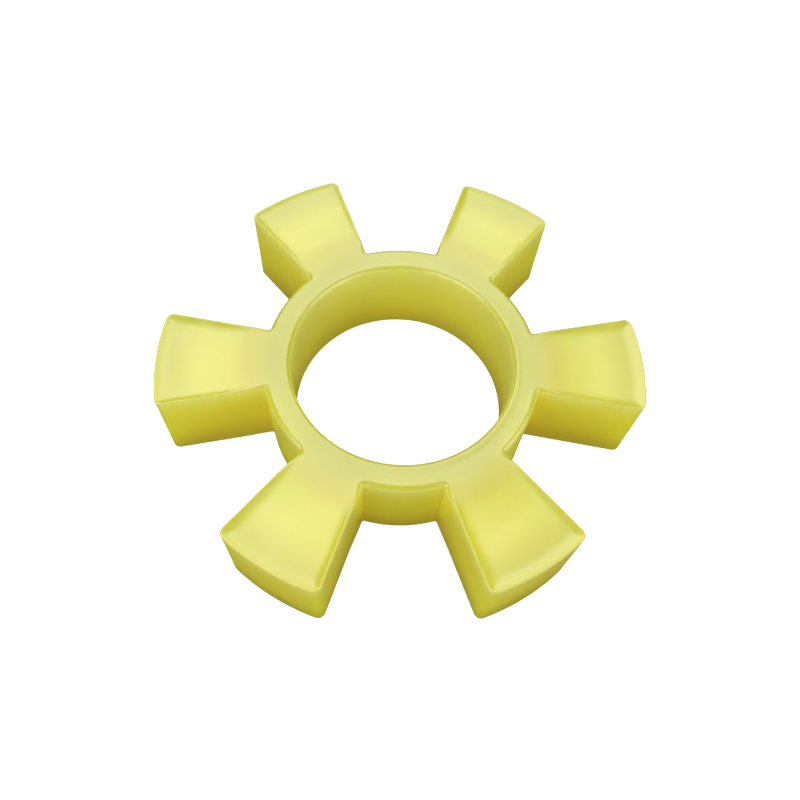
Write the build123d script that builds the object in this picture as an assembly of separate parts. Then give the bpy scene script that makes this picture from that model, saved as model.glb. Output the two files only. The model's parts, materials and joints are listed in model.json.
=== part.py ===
from build123d import *
import os
from math import sqrt

# Elastomer spider of a jaw coupling: one casting, a ring with six legs that taper inwards.
# Frame: origin on the bore's axis at mid-thickness, +Z along the axis, +X along one leg.
# The top is the open face of the mould, the bottom lay on the mould's floor.
# All sizes are in millimetres.

# driving dimensions
OUTER_DIAMETER = 105.0  # over the tips of opposite legs
RING_DIAMETER = 59.4  # outside of the ring, between the legs
BORE_DIAMETER = 48.0
THICKNESS = 22.0
LEG_COUNT = 6
LEG_ROOT_WIDTH = 14.5  # across the flanks where they meet the ring
LEG_TIP_WIDTH = 22.9  # across the flanks where they would meet the outer diameter
TIP_CORNER_RADIUS = 1.6  # upright corners of each leg's outer end
ROOT_CORNER_RADIUS = 0.6  # upright inner corners between a flank and the ring
BORE_TOP_RADIUS = 1.2  # rounded mouth of the bore on the open face
RIM_RADIUS = 0.4  # outline's top edge, all the way round
FLOOR_RADIUS = 0.3  # outline's and bore's bottom edges

# places worked out from them
tip_radius = OUTER_DIAMETER / 2
ring_radius = RING_DIAMETER / 2
bore_radius = BORE_DIAMETER / 2
half_thickness = THICKNESS / 2


def leg_profile():
    """One leg along +X: two flat flanks, the tip's arc, and a foot buried in the ring."""
    root_half = LEG_ROOT_WIDTH / 2
    tip_half = LEG_TIP_WIDTH / 2
    root_x = sqrt(ring_radius**2 - root_half**2)
    tip_x = sqrt(tip_radius**2 - tip_half**2)
    slope = (tip_half - root_half) / (tip_x - root_x)
    foot_x = (ring_radius + bore_radius) / 2
    foot_half = root_half - slope * (root_x - foot_x)
    flanks_and_foot = Polyline(
        (tip_x, tip_half),
        (foot_x, foot_half),
        (foot_x, -foot_half),
        (tip_x, -tip_half),
    )
    tip = ThreePointArc((tip_x, -tip_half), (tip_radius, 0), (tip_x, tip_half))
    return make_face(flanks_and_foot + tip)


def spider_outline():
    """Ring with its legs, filled: the bore is cut after the outline's edges are rounded."""
    legs = PolarLocations(0, LEG_COUNT) * leg_profile()
    return Circle(ring_radius) + legs


def edges_at(shape, direction, radius):
    """Edges along one direction whose middle is at this distance from the axis."""
    found = shape.edges().filter_by(direction)
    return found.filter_by(lambda e: abs(sqrt((e @ 0.5).X ** 2 + (e @ 0.5).Y ** 2) - radius) < 0.01)


def solid_body():
    """The outline raised to full thickness, with its upright corners rounded."""
    body = extrude(spider_outline(), half_thickness, both=True)
    body = fillet(edges_at(body, Axis.Z, tip_radius), TIP_CORNER_RADIUS)
    body = fillet(edges_at(body, Axis.Z, ring_radius), ROOT_CORNER_RADIUS)
    return body


def bore_mouths(shape):
    """The two round edges where the bore meets the faces, lowest first."""
    found = shape.edges().filter_by(GeomType.CIRCLE)
    return found.filter_by(lambda e: abs(e.radius - bore_radius) < 0.01).sort_by(Axis.Z)


def spider():
    """The whole casting."""
    body = solid_body()
    body = fillet(body.faces().sort_by(Axis.Z)[-1].edges(), RIM_RADIUS)
    body = fillet(body.faces().sort_by(Axis.Z)[0].edges(), FLOOR_RADIUS)
    body -= Cylinder(bore_radius, THICKNESS)
    body = fillet(bore_mouths(body)[-1], BORE_TOP_RADIUS)
    body = fillet(bore_mouths(body)[0], FLOOR_RADIUS)
    return body


os.makedirs("parts", exist_ok=True)
export_step(spider(), "parts/spider.step")
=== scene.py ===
"""Looks of the cast polyurethane spider: its mesh, material, studio and camera.

The mesh stands for the CAD node "spider" in the same frame: origin on the bore's axis at
mid-thickness, +Z towards the open-cast face, +X along one leg. Lengths are in metres.
"""

import json
import math

import bpy
import numpy as np
from mathutils import Matrix, Vector, noise
from mathutils.geometry import delaunay_2d_cdt


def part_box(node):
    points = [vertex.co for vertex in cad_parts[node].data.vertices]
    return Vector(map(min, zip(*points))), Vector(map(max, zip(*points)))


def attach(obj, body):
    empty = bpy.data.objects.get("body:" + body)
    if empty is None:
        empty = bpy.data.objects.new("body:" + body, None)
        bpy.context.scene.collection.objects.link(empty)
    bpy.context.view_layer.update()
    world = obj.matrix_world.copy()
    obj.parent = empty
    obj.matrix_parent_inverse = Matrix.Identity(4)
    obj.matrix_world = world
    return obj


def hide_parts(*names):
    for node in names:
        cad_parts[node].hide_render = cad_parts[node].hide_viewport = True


MM = 0.001

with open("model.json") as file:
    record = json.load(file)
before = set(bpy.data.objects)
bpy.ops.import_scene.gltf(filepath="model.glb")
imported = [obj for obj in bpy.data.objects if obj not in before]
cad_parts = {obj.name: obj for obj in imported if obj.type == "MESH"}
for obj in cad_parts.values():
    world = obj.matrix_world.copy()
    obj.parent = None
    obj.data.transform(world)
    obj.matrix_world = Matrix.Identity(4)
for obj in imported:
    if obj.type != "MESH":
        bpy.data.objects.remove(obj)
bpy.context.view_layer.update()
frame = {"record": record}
low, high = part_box("spider")
bore_mount = next(m for m in frame["record"]["mounts"] if m["name"] == "bore")

# ---------------------------------------------------------------- driving dimensions
TIP_RADIUS = high.x
RING_RADIUS = 29.7 * MM
BORE_RADIUS = bore_mount["dims"]["r_mm"] * MM
LEG_COUNT = 6
ROOT_HALF_WIDTH = 7.25 * MM
TIP_HALF_WIDTH = 11.45 * MM
TIP_CORNER = 1.6 * MM  # upright corners of a leg's outer end
ROOT_CORNER = 0.6 * MM  # upright corners between a flank and the ring

TOP, BOTTOM = high.z, low.z
DISH_DEPTH = 0.75 * MM  # how far a leg's face sank below its edges as the casting set
DISH_START = 28 * MM  # distance from the axis where it starts, on the ring
DISH_GROWTH = 14 * MM  # length over which it reaches its depth
LIP_WIDTH = 2.9 * MM  # slope from a leg's edge in to the sunken face, at the tip
LIP_ROOT_SHARE = 0.6  # share of that width left at the ring
LIP_CURVE = 2.3  # power of the slope's profile: 1 is straight, more is hollower
LEG_EDGE = 0.5 * MM  # rounding of a leg's upper edge
GAP_EDGE = 1.1 * MM  # the ring's softer edge between the legs
GAP_BLEND = 4.0 * MM  # length of flank over which one turns into the other
BORE_EDGE = 1.0 * MM  # rounding of the bore's upper mouth
BEAD_HEIGHT = 0.08 * MM  # low bead round the bore's mouth, left by the core
BEAD_WIDTH = 0.5 * MM
FLOOR_EDGE = 0.3 * MM  # rounding of every bottom edge
SHOULDER = 0.9 * MM  # width of the ordered border inside the rounding, before the free fill
WAVE_HEIGHT = 0.05 * MM  # slow unevenness of the open face
WAVE_LENGTH = 16 * MM
WAVE_SLICE = 3.7  # height, in wave lengths, of the slice taken through the noise
WAVE_FADE = 3 * MM  # distance from the outline and the bore over which it sets in
CLEAR_OF_EDGE = 5 * MM  # stands for any place that the outline's rounding doesn't reach

NIB_PLACE = (-42.6 * MM, -9.6 * MM)  # drip left on one leg's edge
NIB_HEIGHT = 0.2 * MM
NIB_WIDTH = 0.5 * MM
LEG_LEANS = (0, -0.1, -0.15, 0.25, -0.4, 0.2)  # degrees, each leg out of its true place
LEAN_REACH = 8 * MM  # distance from the ring over which a leg takes up its lean

LOOP_STEP = 0.45 * MM  # spacing of points round the outline
SMALL_RADIUS = 2 * MM  # arcs tighter than this get a least number of points
SMALL_ARC_POINTS = 8
SAME_POINT = 0.0001 * MM  # ends of two stretches this close are one point
FILL_STEP = 0.6 * MM  # spacing of points in the fill
FILL_FROM_BORE = 0.6 * FILL_STEP  # least gap between the fill and the bore's border
FILL_FROM_EDGE = 0.5 * FILL_STEP  # and between the fill and the outline's border
FILL_PARTS = 16  # parts in which the fill is measured, to spare memory
WALL_ROWS = 24  # rows up the outer wall, and down the bore
SHOULDER_ROWS = 4
FLOOR_ROUND_ROWS = 7  # rows across a rounding, with both its ends
TOP_ROUND_ROWS = 10
BORE_ROUND_ROWS = 11
TRIANGLES_OVER_HULL = 0  # kind of result asked of the triangulation
MERGE_DISTANCE = 1e-6  # points closer than this are one to the triangulation, in mm


# ---------------------------------------------------------------- outline
def arc(centre, radius, start, end, outwards=1):
    """Points and outward normals along an arc; outwards is -1 where the centre is in the air."""
    least = SMALL_ARC_POINTS if radius < SMALL_RADIUS else 2
    count = max(least, round(abs(end - start) * radius / LOOP_STEP) + 1)
    angles = np.linspace(start, end, count)
    spokes = np.stack([np.cos(angles), np.sin(angles)], 1)
    return np.array(centre) + radius * spokes, outwards * spokes


def line(start, end, normal):
    """Points and normals along a straight stretch, without its ends, which the arcs hold."""
    count = round(np.linalg.norm(end - start) / LOOP_STEP)
    shares = np.linspace(0, 1, count + 1)[1:-1, None]
    return start + shares * (end - start), np.tile(normal, (count - 1, 1))


def half_leg():
    """Outline from the middle of a tip, counter-clockwise to the middle of the next gap."""
    root_x = math.sqrt(RING_RADIUS**2 - ROOT_HALF_WIDTH**2)
    tip_x = math.sqrt(TIP_RADIUS**2 - TIP_HALF_WIDTH**2)
    slope = math.atan2(TIP_HALF_WIDTH - ROOT_HALF_WIDTH, tip_x - root_x)
    along = np.array([math.cos(slope), math.sin(slope)])
    normal = np.array([-math.sin(slope), math.cos(slope)])
    offset = normal @ np.array([root_x, ROOT_HALF_WIDTH])

    inside = offset - TIP_CORNER
    tip_centre = normal * inside + along * math.sqrt((TIP_RADIUS - TIP_CORNER) ** 2 - inside**2)
    outside = offset + ROOT_CORNER
    root_centre = normal * outside + along * math.sqrt((RING_RADIUS + ROOT_CORNER) ** 2 - outside**2)
    tip_angle = math.atan2(tip_centre[1], tip_centre[0])
    root_angle = math.atan2(root_centre[1], root_centre[0])

    stretches = [
        arc((0, 0), TIP_RADIUS, 0, tip_angle),
        arc(tip_centre, TIP_CORNER, tip_angle, slope + math.pi / 2),
        line(tip_centre + TIP_CORNER * normal, root_centre - ROOT_CORNER * normal, normal),
        arc(root_centre, ROOT_CORNER, slope - math.pi / 2, root_angle - math.pi, -1),
        arc((0, 0), RING_RADIUS, root_angle, math.pi / LEG_COUNT),
    ]
    points = [stretches[0][0]]
    normals = [stretches[0][1]]
    for p, n in stretches[1:]:
        start = 1 if np.allclose(p[0], points[-1][-1], atol=SAME_POINT) else 0
        points.append(p[start:])
        normals.append(n[start:])
    return np.concatenate(points), np.concatenate(normals)


def turned(vectors, angle):
    """Plane vectors turned counter-clockwise by an angle."""
    c, s = math.cos(angle), math.sin(angle)
    return vectors @ np.array([[c, s], [-s, c]])


def outline():
    """The whole outline, counter-clockwise: points and outward normals."""
    points, normals = half_leg()
    mirror = np.array([1, -1])
    leg_points = np.concatenate([points[:0:-1] * mirror, points[:-1]])
    leg_normals = np.concatenate([normals[:0:-1] * mirror, normals[:-1]])
    steps = [k * 2 * math.pi / LEG_COUNT for k in range(LEG_COUNT)]
    return (
        np.concatenate([turned(leg_points, a) for a in steps]),
        np.concatenate([turned(leg_normals, a) for a in steps]),
    )


# ---------------------------------------------------------------- heights
def smooth(t):
    """Smooth step from 0 to 1."""
    t = np.clip(t, 0, 1)
    return t * t * (3 - 2 * t)


def rounding(distance, radius):
    """How far a rounded edge has dropped, this far inside it."""
    short = np.clip(radius - distance, 0, radius)
    return radius - np.sqrt(radius**2 - short**2)


def gap_share(points):
    """1 on the ring between the legs, 0 on the legs, blended along the root of each flank."""
    beyond = np.linalg.norm(points, axis=-1) - RING_RADIUS
    return 1 - smooth(beyond / GAP_BLEND)


def edge_radius(share):
    """Rounding of the outline's top edge, between the legs' and the ring's."""
    return LEG_EDGE + (GAP_EDGE - LEG_EDGE) * share


def ripple(points):
    """Slow unevenness of the face that set in the open air, from about -1 to 1."""
    places = [Vector((x / WAVE_LENGTH, y / WAVE_LENGTH, WAVE_SLICE)) for x, y in points]
    return np.array([noise.noise(place) for place in places])


def face_height(points, distance, share):
    """Height of the top face: level on the ring, dished on the legs, with soft edges.

    distance is from the outline, share is gap_share at the nearest point of the outline."""
    from_axis = np.linalg.norm(points, axis=-1)
    from_bore = from_axis - BORE_RADIUS
    growth = smooth((from_axis - DISH_START) / DISH_GROWTH)
    width = LIP_WIDTH * (LIP_ROOT_SHARE + (1 - LIP_ROOT_SHARE) * growth)
    dish = DISH_DEPTH * growth * (1 - np.clip(1 - distance / width, 0, 1) ** LIP_CURVE)
    bead = BEAD_HEIGHT * np.exp(-(((from_bore - BORE_EDGE) / BEAD_WIDTH) ** 2))
    inside = smooth(distance / WAVE_FADE) * smooth(from_bore / WAVE_FADE)
    nib_distance = np.linalg.norm(points - np.array(NIB_PLACE), axis=-1)
    nib = NIB_HEIGHT * np.exp(-((nib_distance / NIB_WIDTH) ** 2))
    face = TOP - BEAD_HEIGHT - dish + bead + nib - WAVE_HEIGHT * (1 + ripple(points)) * inside
    return face - rounding(distance, edge_radius(share)) - rounding(from_bore, BORE_EDGE)


def leaned(vertices):
    """Vertices with each leg turned a little about the axis, the ring left where it is."""
    x, y, z = np.array(vertices).T
    leg = np.round(np.arctan2(y, x) / (2 * math.pi / LEG_COUNT)).astype(int) % LEG_COUNT
    share = smooth((np.hypot(x, y) - RING_RADIUS) / LEAN_REACH)
    turn = np.radians(LEG_LEANS)[leg] * share
    return np.stack([x * np.cos(turn) - y * np.sin(turn), x * np.sin(turn) + y * np.cos(turn), z], 1)


# ---------------------------------------------------------------- mesh
class Shell:
    """Vertices and faces gathered piece by piece."""

    def __init__(self):
        self.vertices = []
        self.faces = []

    def add_rows(self, rows):
        """Closed loops of equal length, stacked: returns the index of each row's first vertex."""
        starts = []
        for row in rows:
            starts.append(len(self.vertices))
            self.vertices.extend(map(tuple, row))
        count = len(rows[0])
        for below, above in zip(starts, starts[1:]):
            for i in range(count):
                j = (i + 1) % count
                self.faces.append((below + i, below + j, above + j, above + i))
        return starts

    def add_fill(self, outer, inner, extra, up):
        """Triangles between an outer and an inner loop, through extra points.

        outer and inner are (first index, count) of loops already here, extra is n x 3."""
        first = len(self.vertices)
        self.vertices.extend(map(tuple, extra))
        loops = [[s + i for i in range(n)] for s, n in (outer, inner)]
        known = loops[0] + loops[1] + list(range(first, len(self.vertices)))
        flat = [Vector(self.vertices[i][:2]) / MM for i in known]
        whole = list(range(outer[1]))
        hole = list(range(outer[1], outer[1] + inner[1]))
        edges = [(ring[i - 1], ring[i]) for ring in (whole, hole) for i in range(len(ring))]
        _, _, faces, origin, _, holders = delaunay_2d_cdt(
            flat, edges, [whole, hole], TRIANGLES_OVER_HULL, MERGE_DISTANCE, True
        )
        for face, held_by in zip(faces, holders):
            if held_by != [0]:  # outside the outer loop, or in the hole
                continue
            corners = [known[origin[v][0]] for v in face]
            self.faces.append(tuple(corners if up else corners[::-1]))

    def build(self, name):
        """An object of the gathered mesh, with the legs' leans."""
        mesh = bpy.data.meshes.new(name)
        mesh.from_pydata(leaned(self.vertices), [], self.faces)
        mesh.validate()
        mesh.shade_smooth()
        piece = bpy.data.objects.new(name, mesh)
        bpy.context.scene.collection.objects.link(piece)
        return piece


def with_z(points, z):
    """Plane points raised to one height, or each to its own."""
    return np.column_stack([points, np.broadcast_to(z, len(points))])


def wall_rows(points, normals):
    """Rows of the outer wall, from the border of the underside up to the border of the top."""
    share = gap_share(points)
    edge = edge_radius(share)
    rows = []
    for t in np.linspace(1, 0, SHOULDER_ROWS + 1)[:-1]:
        inset = FLOOR_EDGE + t * (edge + SHOULDER - FLOOR_EDGE)
        rows.append(with_z(points - inset[:, None] * normals, BOTTOM))
    for angle in np.linspace(math.pi / 2, 0, FLOOR_ROUND_ROWS):
        inset = FLOOR_EDGE * (1 - math.cos(angle))
        rows.append(with_z(points - inset * normals, BOTTOM + FLOOR_EDGE * (1 - math.sin(angle))))
    foot = BOTTOM + FLOOR_EDGE
    head = face_height(points, np.zeros(len(points)), share)
    for t in np.linspace(0, 1, WALL_ROWS + 1)[1:]:
        rows.append(with_z(points, foot + t * (head - foot)))
    for angle in np.linspace(0, math.pi / 2, TOP_ROUND_ROWS)[1:]:
        inset = edge * (1 - math.cos(angle))
        inner = points - inset[:, None] * normals
        rows.append(with_z(inner, face_height(inner, inset, share)))
    for t in np.linspace(0, 1, SHOULDER_ROWS + 1)[1:]:
        inset = edge + t * SHOULDER
        inner = points - inset[:, None] * normals
        rows.append(with_z(inner, face_height(inner, inset, share)))
    return rows


def bore_rows():
    """Rows of the bore, from the border of the top down to the border of the underside."""
    count = round(2 * math.pi * BORE_RADIUS / LOOP_STEP / LEG_COUNT) * LEG_COUNT
    angles = np.linspace(0, 2 * math.pi, count, endpoint=False)
    spokes = np.stack([np.cos(angles), np.sin(angles)], 1)
    clear = np.full(count, CLEAR_OF_EDGE)
    all_ring = np.ones(count)
    rows = []
    for angle in np.linspace(math.pi / 2, 0, BORE_ROUND_ROWS):
        at = spokes * (BORE_RADIUS + BORE_EDGE * (1 - math.cos(angle)))
        rows.append(with_z(at, face_height(at, clear, all_ring)))
    mouth = TOP - BEAD_HEIGHT - BORE_EDGE
    foot = BOTTOM + FLOOR_EDGE
    for t in np.linspace(0, 1, WALL_ROWS + 1)[1:]:
        rows.append(with_z(spokes * BORE_RADIUS, mouth + t * (foot - mouth)))
    for angle in np.linspace(0, math.pi / 2, FLOOR_ROUND_ROWS)[1:]:
        at = spokes * (BORE_RADIUS + FLOOR_EDGE * (1 - math.cos(angle)))
        rows.append(with_z(at, BOTTOM + FLOOR_EDGE * (1 - math.sin(angle))))
    return rows


def fill_points(points, normals, inner_radius):
    """Points of a triangular grid well inside the borders: place, distance and gap share."""
    row_step = FILL_STEP * math.sqrt(3) / 2
    reach = int(TIP_RADIUS / row_step) + 1
    grid = np.array(
        [
            ((i + 0.5 * (j % 2)) * FILL_STEP, j * row_step)
            for j in range(-reach, reach + 1)
            for i in range(-reach - 1, reach + 2)
        ]
    )
    radius = np.linalg.norm(grid, axis=1)
    grid = grid[(radius < TIP_RADIUS) & (radius > inner_radius + FILL_FROM_BORE)]
    nearest = np.concatenate(
        [
            np.argmin(((part[:, None, :] - points[None]) ** 2).sum(2), 1)
            for part in np.array_split(grid, FILL_PARTS)
        ]
    )
    distance = ((points[nearest] - grid) * normals[nearest]).sum(1)
    share = gap_share(points)[nearest]
    keep = distance > edge_radius(share) + SHOULDER + FILL_FROM_EDGE
    return grid[keep], distance[keep], share[keep]


def build_spider():
    """The whole casting as one closed mesh."""
    points, normals = outline()
    shell = Shell()
    walls = wall_rows(points, normals)
    bore = bore_rows()
    wall_starts = shell.add_rows(walls)
    bore_starts = shell.add_rows(bore)

    inner_radius = np.linalg.norm(bore[0][0][:2])
    places, distance, share = fill_points(points, normals, inner_radius)
    top = with_z(places, face_height(places, distance, share))
    shell.add_fill((wall_starts[-1], len(points)), (bore_starts[0], len(bore[0])), top, True)
    under = with_z(places, BOTTOM)
    shell.add_fill((wall_starts[0], len(points)), (bore_starts[-1], len(bore[0])), under, False)
    return shell.build("cast_spider")


# ---------------------------------------------------------------- material
class Nodes:
    """Short ways to add the nodes of one material."""

    def __init__(self, material):
        material.use_nodes = True
        self.tree = material.node_tree
        self.shader = self.tree.nodes["Principled BSDF"]

    def add(self, kind, **settings):
        node = self.tree.nodes.new("ShaderNode" + kind)
        for name, value in settings.items():
            setattr(node, name, value)
        return node

    def put(self, socket, value):
        """A link if the value comes from another node, and otherwise a constant."""
        if isinstance(value, bpy.types.NodeSocket):
            self.tree.links.new(value, socket)
        else:
            socket.default_value = value

    def math(self, operation, *values):
        node = self.add("Math", operation=operation)
        for socket, value in zip(node.inputs, values):
            self.put(socket, value)
        return node.outputs[0]

    def spread(self, value, lower, upper, start, end):
        """The value's range from lower to upper, smoothly turned into one from start to end."""
        node = self.add("MapRange", interpolation_type="SMOOTHSTEP")
        for socket, setting in zip(node.inputs, (value, lower, upper, start, end)):
            self.put(socket, setting)
        return node.outputs["Result"]

    def noise(self, place, size, detail=2.0):
        node = self.add("TexNoise")
        self.put(node.inputs["Vector"], place)
        node.inputs["Scale"].default_value = 1 / size
        node.inputs["Detail"].default_value = detail
        return node.outputs[0]

    def mix(self, share, first, second):
        node = self.add("Mix", data_type="RGBA", clamp_factor=True)
        self.put(node.inputs["Factor"], share)
        self.put(node.inputs["A"], first)
        self.put(node.inputs["B"], second)
        return node.outputs["Result"]

    def bump(self, height, depth, normal=None):
        node = self.add("Bump")
        node.inputs["Distance"].default_value = depth
        self.put(node.inputs["Height"], height)
        if normal:
            self.put(node.inputs["Normal"], normal)
        return node.outputs[0]


PAINTED_BRIGHT_LEG_COLOUR = (0.88, 0.83, 0.075, 1)  # middle of a leg's face, where the body is thickest, painted brighter: painted glow of light soaking into the thick body, and painted sheen
# the ring's face, painted darker than the legs: painted shade where less light soaks into the thin
# body
PAINTED_SHADE_RING_COLOUR = (0.57, 0.60, 0.045, 1)
# outer ends of the legs' faces, painted darker: painted shade further from the lights
PAINTED_SHADE_TIP_COLOUR = (0.66, 0.65, 0.05, 1)
PAINTED_SHADE_LIP_COLOUR = (0.68, 0.61, 0.02, 1)  # thin raised edge round a leg's face, painted darker and deeper yellow: painted shade where the edge misses the lights' sheen
CLOUD_COLOUR = (1, 1, 0.4, 1)
CLOUD_LIGHT = 0.10  # share of that colour in the cloudiest drifts
WALL_COLOUR = (0.89, 0.78, 0.045, 1)
PAINTED_WALL_GLOW_COLOUR = (0.98, 0.93, 0.27, 1)  # painted glow: walls just below the open face painted paler, where daylight gets through
PAINTED_SHADE_FOOT_COLOUR = (0.78, 0.60, 0.03, 1)  # painted shade: deeper, warmer colour at the foot of the walls
GLOW_FADE_DEPTH = 3.0 * MM  # how fast the painted glow of the paler edge fades with depth on the outside
BORE_GLOW_FADE_DEPTH = 8.0 * MM  # and in the bore
GLOW_FADE_BLEND = 3 * MM  # distance out from the bore over which one turns into the other

# ranges over which one look turns into another
LEG_RANGE = (27 * MM, 37 * MM)  # from the axis: ring to leg
TIP_RANGE = (42 * MM, 51 * MM)  # from the axis: leg to tip
LIP_RANGE = (0.2 * MM, 0.7 * MM)  # below the top: raised lip to sunken face
SHADE_FOOT_RANGE = (11 * MM, 22 * MM)  # below the top: wall to its warmer foot, the painted shade
UPRIGHT_RANGE = (0.15, 0.8)  # the normal's Z: wall to face
CLOUD_RANGE = (0.35, 0.7)  # noise: clear to cloudiest
GLOSS_RANGE = (0.3, 0.7)  # noise: glossiest to dullest
ROUGHNESS_RANGE = (0.28, 0.36)

CLOUD_SIZE = 18 * MM
GLOSS_SIZE = 9 * MM
GLOSS_DETAIL = 4.0
RIPPLE_SIZE = 8 * MM
RIPPLE_DEPTH = 0.06 * MM
PEEL_SIZE = 0.9 * MM
PEEL_DEPTH = 0.004 * MM
MARK_SIZE = 1.1 * MM
MARK_DETAIL = 3.0
MARK_DEPTH = 0.012 * MM
MARK_SCALE = (1, 1, 0.06)  # squashes Z in the noise, so that marks run long down the walls

REFRACTION = 1.7
SPECULAR_LEVEL = 0.9
SCATTER_RADIUS = (1.0, 0.7, 0.1)  # share of the reach for red, green and blue
SCATTER_REACH = 30 * MM


def polyurethane():
    """Clear yellow cast polyurethane: satin skin over a body that light soaks into."""
    material = bpy.data.materials.new("cast_polyurethane")
    n = Nodes(material)
    place = n.add("TexCoord").outputs["Object"]
    split = n.add("SeparateXYZ")
    n.put(split.inputs[0], place)
    x, y, z = split.outputs
    facing = n.add("SeparateXYZ")
    n.put(facing.inputs[0], n.add("NewGeometry").outputs["Normal"])

    # colour: clouds on the face; painted light: leg faces painted brighter than the ring, tips and
    # lips, and walls painted paler towards the top, a painted glow, and warmer towards the foot, a
    # painted shade
    depth = n.math("SUBTRACT", TOP, z)
    from_axis = n.math("SQRT", n.math("ADD", n.math("MULTIPLY", x, x), n.math("MULTIPLY", y, y)))
    on_leg = n.spread(from_axis, *LEG_RANGE, 0, 1)
    on_tip = n.spread(from_axis, *TIP_RANGE, 0, 1)
    # painted light: bright leg faces between darker, shaded ring and tips
    face = n.mix(on_tip, n.mix(on_leg, PAINTED_SHADE_RING_COLOUR, PAINTED_BRIGHT_LEG_COLOUR), PAINTED_SHADE_TIP_COLOUR)
    # painted shade on the raised lip round each leg's face
    raised = n.math("MULTIPLY", n.spread(depth, *LIP_RANGE, 1, 0), on_leg)
    face = n.mix(raised, face, PAINTED_SHADE_LIP_COLOUR)
    clouds = n.spread(n.noise(place, CLOUD_SIZE), *CLOUD_RANGE, 0, CLOUD_LIGHT)
    face = n.mix(clouds, face, CLOUD_COLOUR)
    # painted glow: walls paler just below the open face, fading with depth
    blend_end = BORE_RADIUS + GLOW_FADE_BLEND
    fade = n.spread(from_axis, BORE_RADIUS, blend_end, BORE_GLOW_FADE_DEPTH, GLOW_FADE_DEPTH)
    painted_glow = n.math("EXPONENT", n.math("MULTIPLY", n.math("DIVIDE", depth, fade), -1))
    # painted shade: walls warmer and darker towards the foot
    painted_foot_shade = n.spread(depth, *SHADE_FOOT_RANGE, 0, 1)
    wall = n.mix(painted_glow, n.mix(painted_foot_shade, WALL_COLOUR, PAINTED_SHADE_FOOT_COLOUR), PAINTED_WALL_GLOW_COLOUR)
    upright = n.spread(facing.outputs["Z"], *UPRIGHT_RANGE, 1, 0)
    n.put(n.shader.inputs["Base Color"], n.mix(upright, face, wall))

    # gloss: satin, with duller drifts
    drifts = n.noise(place, GLOSS_SIZE, GLOSS_DETAIL)
    n.put(n.shader.inputs["Roughness"], n.spread(drifts, *GLOSS_RANGE, *ROUGHNESS_RANGE))

    # relief: soft ripples, a fine orange peel, and faint marks down the walls
    ripples = n.bump(n.noise(place, RIPPLE_SIZE), RIPPLE_DEPTH)
    peel = n.bump(n.noise(place, PEEL_SIZE), PEEL_DEPTH, ripples)
    squash = n.add("Mapping")
    squash.inputs["Scale"].default_value = MARK_SCALE
    n.put(squash.inputs["Vector"], place)
    marks = n.math("MULTIPLY", n.noise(squash.outputs[0], MARK_SIZE, MARK_DETAIL), upright)
    n.put(n.shader.inputs["Normal"], n.bump(marks, MARK_DEPTH, peel))

    n.shader.inputs["IOR"].default_value = REFRACTION
    n.shader.inputs["Specular IOR Level"].default_value = SPECULAR_LEVEL
    n.shader.inputs["Subsurface Weight"].default_value = 1.0
    n.shader.inputs["Subsurface Radius"].default_value = SCATTER_RADIUS
    n.shader.inputs["Subsurface Scale"].default_value = SCATTER_REACH
    return material


# ---------------------------------------------------------------- studio
WHITE = (1, 1, 1, 1)
GREY = (0.5, 0.5, 0.5, 1)
BLACK = (0, 0, 0, 1)
PLANE_SIZE = 4
PLANE_ROUGHNESS = 0.9
FLOOR_GLOW = 0.95
TABLE_GLOW = 0.22
TABLE_DROP = 0.1 * MM  # how far the table lies below the floor
DOME_RADIUS = 1.95  # just inside the planes' edges
DOME_SEGMENTS = 64
DOME_RINGS = 32
DOME_ROUGHNESS = 0.5
DOME_GLOW = 1
WORLD_GLOW = 0.05

# name, azimuth, elevation, distance, width, height, power
SOFTBOXES = (
    ("window", 186, 52, 0.6, 0.6, 0.48, 1.75),
    ("overhead", 195, 80, 0.6, 0.3, 0.14, 0.3),
    ("left_fill", -50, 32, 0.6, 0.5, 0.5, 1.95),
    ("right_fill", 62, 28, 0.6, 0.5, 0.5, 1.75),
)

CAMERA_AZIMUTH = -4.44  # degrees from the front, -Y, towards +X
CAMERA_ELEVATION = 60.05
CAMERA_ROLL = 4.62
CAMERA_DISTANCE = 187.2 * MM
CAMERA_AIM = Vector((-0.87, 6.45, 0)) * MM
CAMERA_SENSOR = 36
CAMERA_LENS = 36.57
CAMERA_SHIFT = (0.0049, -0.0519)
CAMERA_CLIP = (0.01, 20)


def glowing(name, colour, roughness, glow):
    """Material that shines white by itself and isn't sampled as a lamp."""
    material = bpy.data.materials.new(name + "_white")
    material.use_nodes = True
    shader = material.node_tree.nodes["Principled BSDF"]
    shader.inputs["Base Color"].default_value = colour
    shader.inputs["Roughness"].default_value = roughness
    shader.inputs["Emission Color"].default_value = WHITE
    shader.inputs["Emission Strength"].default_value = glow
    material.cycles.emission_sampling = "NONE"
    return material


def add_plane(name, height, glow):
    """Wide white plane. It isn't mirrored in the object, so its gloss shows the lights alone."""
    bpy.ops.mesh.primitive_plane_add(size=PLANE_SIZE, location=(0, 0, height))
    plane = bpy.context.object
    plane.name = name
    plane.visible_glossy = False
    plane.data.materials.append(glowing(name, GREY, PLANE_ROUGHNESS, glow))
    return plane


def add_floor():
    """The floor that the camera sees, as good as white, and the dimmer one that lights the object."""
    floor = add_plane("floor", BOTTOM, FLOOR_GLOW)
    floor.visible_diffuse = False
    floor.visible_shadow = False
    table = add_plane("table", BOTTOM - TABLE_DROP, TABLE_GLOW)
    table.visible_camera = False


def add_backdrop():
    """White dome that only the camera sees, behind the floor's far edge in low views."""
    bpy.ops.mesh.primitive_uv_sphere_add(
        segments=DOME_SEGMENTS, ring_count=DOME_RINGS, radius=DOME_RADIUS
    )
    dome = bpy.context.object
    dome.name = "backdrop"
    dome.data.shade_smooth()
    dome.visible_diffuse = False
    dome.visible_glossy = False
    dome.visible_transmission = False
    dome.visible_shadow = False
    dome.data.materials.append(glowing("backdrop", BLACK, DOME_ROUGHNESS, DOME_GLOW))


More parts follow.
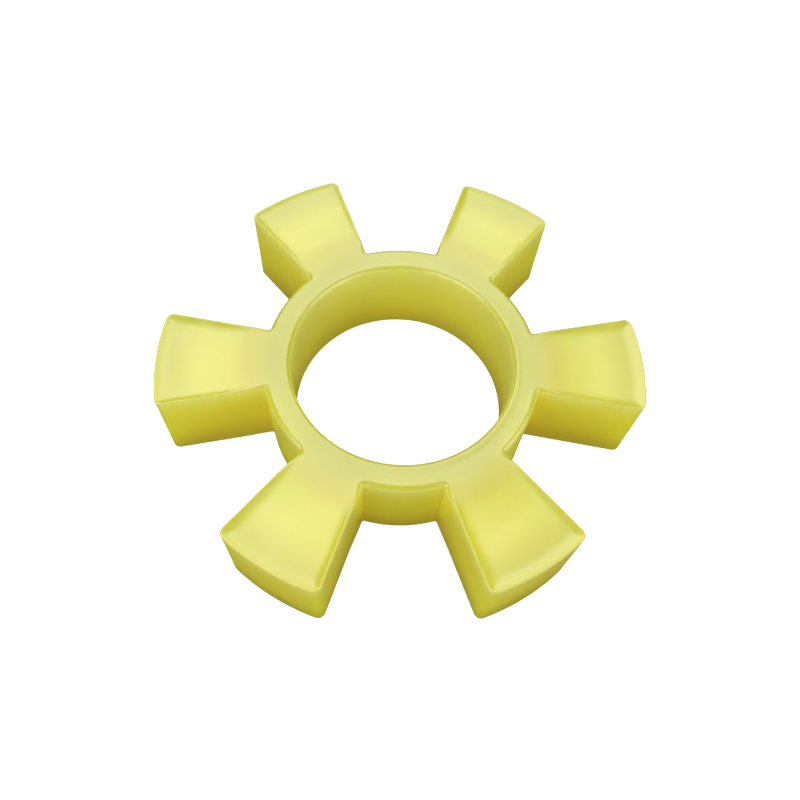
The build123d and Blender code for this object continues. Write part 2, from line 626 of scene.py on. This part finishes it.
def add_softbox(name, azimuth, elevation, distance, width, height, power):
    """Area light that looks at the object. Azimuth 0 is in front, on -Y, and 90 is on +X."""
    a, e = math.radians(azimuth), math.radians(elevation)
    away = Vector((math.sin(a) * math.cos(e), -math.cos(a) * math.cos(e), math.sin(e)))
    data = bpy.data.lights.new(name, "AREA")
    data.shape = "RECTANGLE"
    data.size = width
    data.size_y = height
    data.energy = power
    light = bpy.data.objects.new(name, data)
    light.visible_camera = False
    light.location = away * distance
    light.rotation_mode = "QUATERNION"
    light.rotation_quaternion = away.to_track_quat("Z", "Y")
    bpy.context.scene.collection.objects.link(light)


def add_world():
    """Faint even light from all round."""
    world = bpy.data.worlds.new("studio")
    world.use_nodes = True
    background = world.node_tree.nodes["Background"]
    background.inputs["Color"].default_value = WHITE
    background.inputs["Strength"].default_value = WORLD_GLOW
    bpy.context.scene.world = world


def add_camera():
    """Close view from above, a little to the left and slightly rolled."""
    azimuth = math.radians(CAMERA_AZIMUTH)
    elevation = math.radians(CAMERA_ELEVATION)
    roll = math.radians(CAMERA_ROLL)
    back = Vector(
        (
            math.sin(azimuth) * math.cos(elevation),
            -math.cos(azimuth) * math.cos(elevation),
            math.sin(elevation),
        )
    )
    level_right = Vector((math.cos(azimuth), math.sin(azimuth), 0))
    level_up = back.cross(level_right)
    right = math.cos(roll) * level_right + math.sin(roll) * level_up
    up = back.cross(right)
    data = bpy.data.cameras.new("camera")
    data.sensor_width = CAMERA_SENSOR
    data.lens = CAMERA_LENS
    data.shift_x, data.shift_y = CAMERA_SHIFT
    data.clip_start, data.clip_end = CAMERA_CLIP
    camera = bpy.data.objects.new("camera", data)
    turn = Matrix((right, up, back)).transposed().to_4x4()
    camera.matrix_world = Matrix.Translation(CAMERA_AIM + back * CAMERA_DISTANCE) @ turn
    bpy.context.scene.collection.objects.link(camera)
    bpy.context.scene.camera = camera


add_camera()
spider = build_spider()
spider.data.materials.append(polyurethane())
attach(spider, "root")
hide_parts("spider")

add_floor()
add_backdrop()
for softbox in SOFTBOXES:
    add_softbox(*softbox)
add_world()
bpy.context.scene.view_settings.view_transform = "Standard"
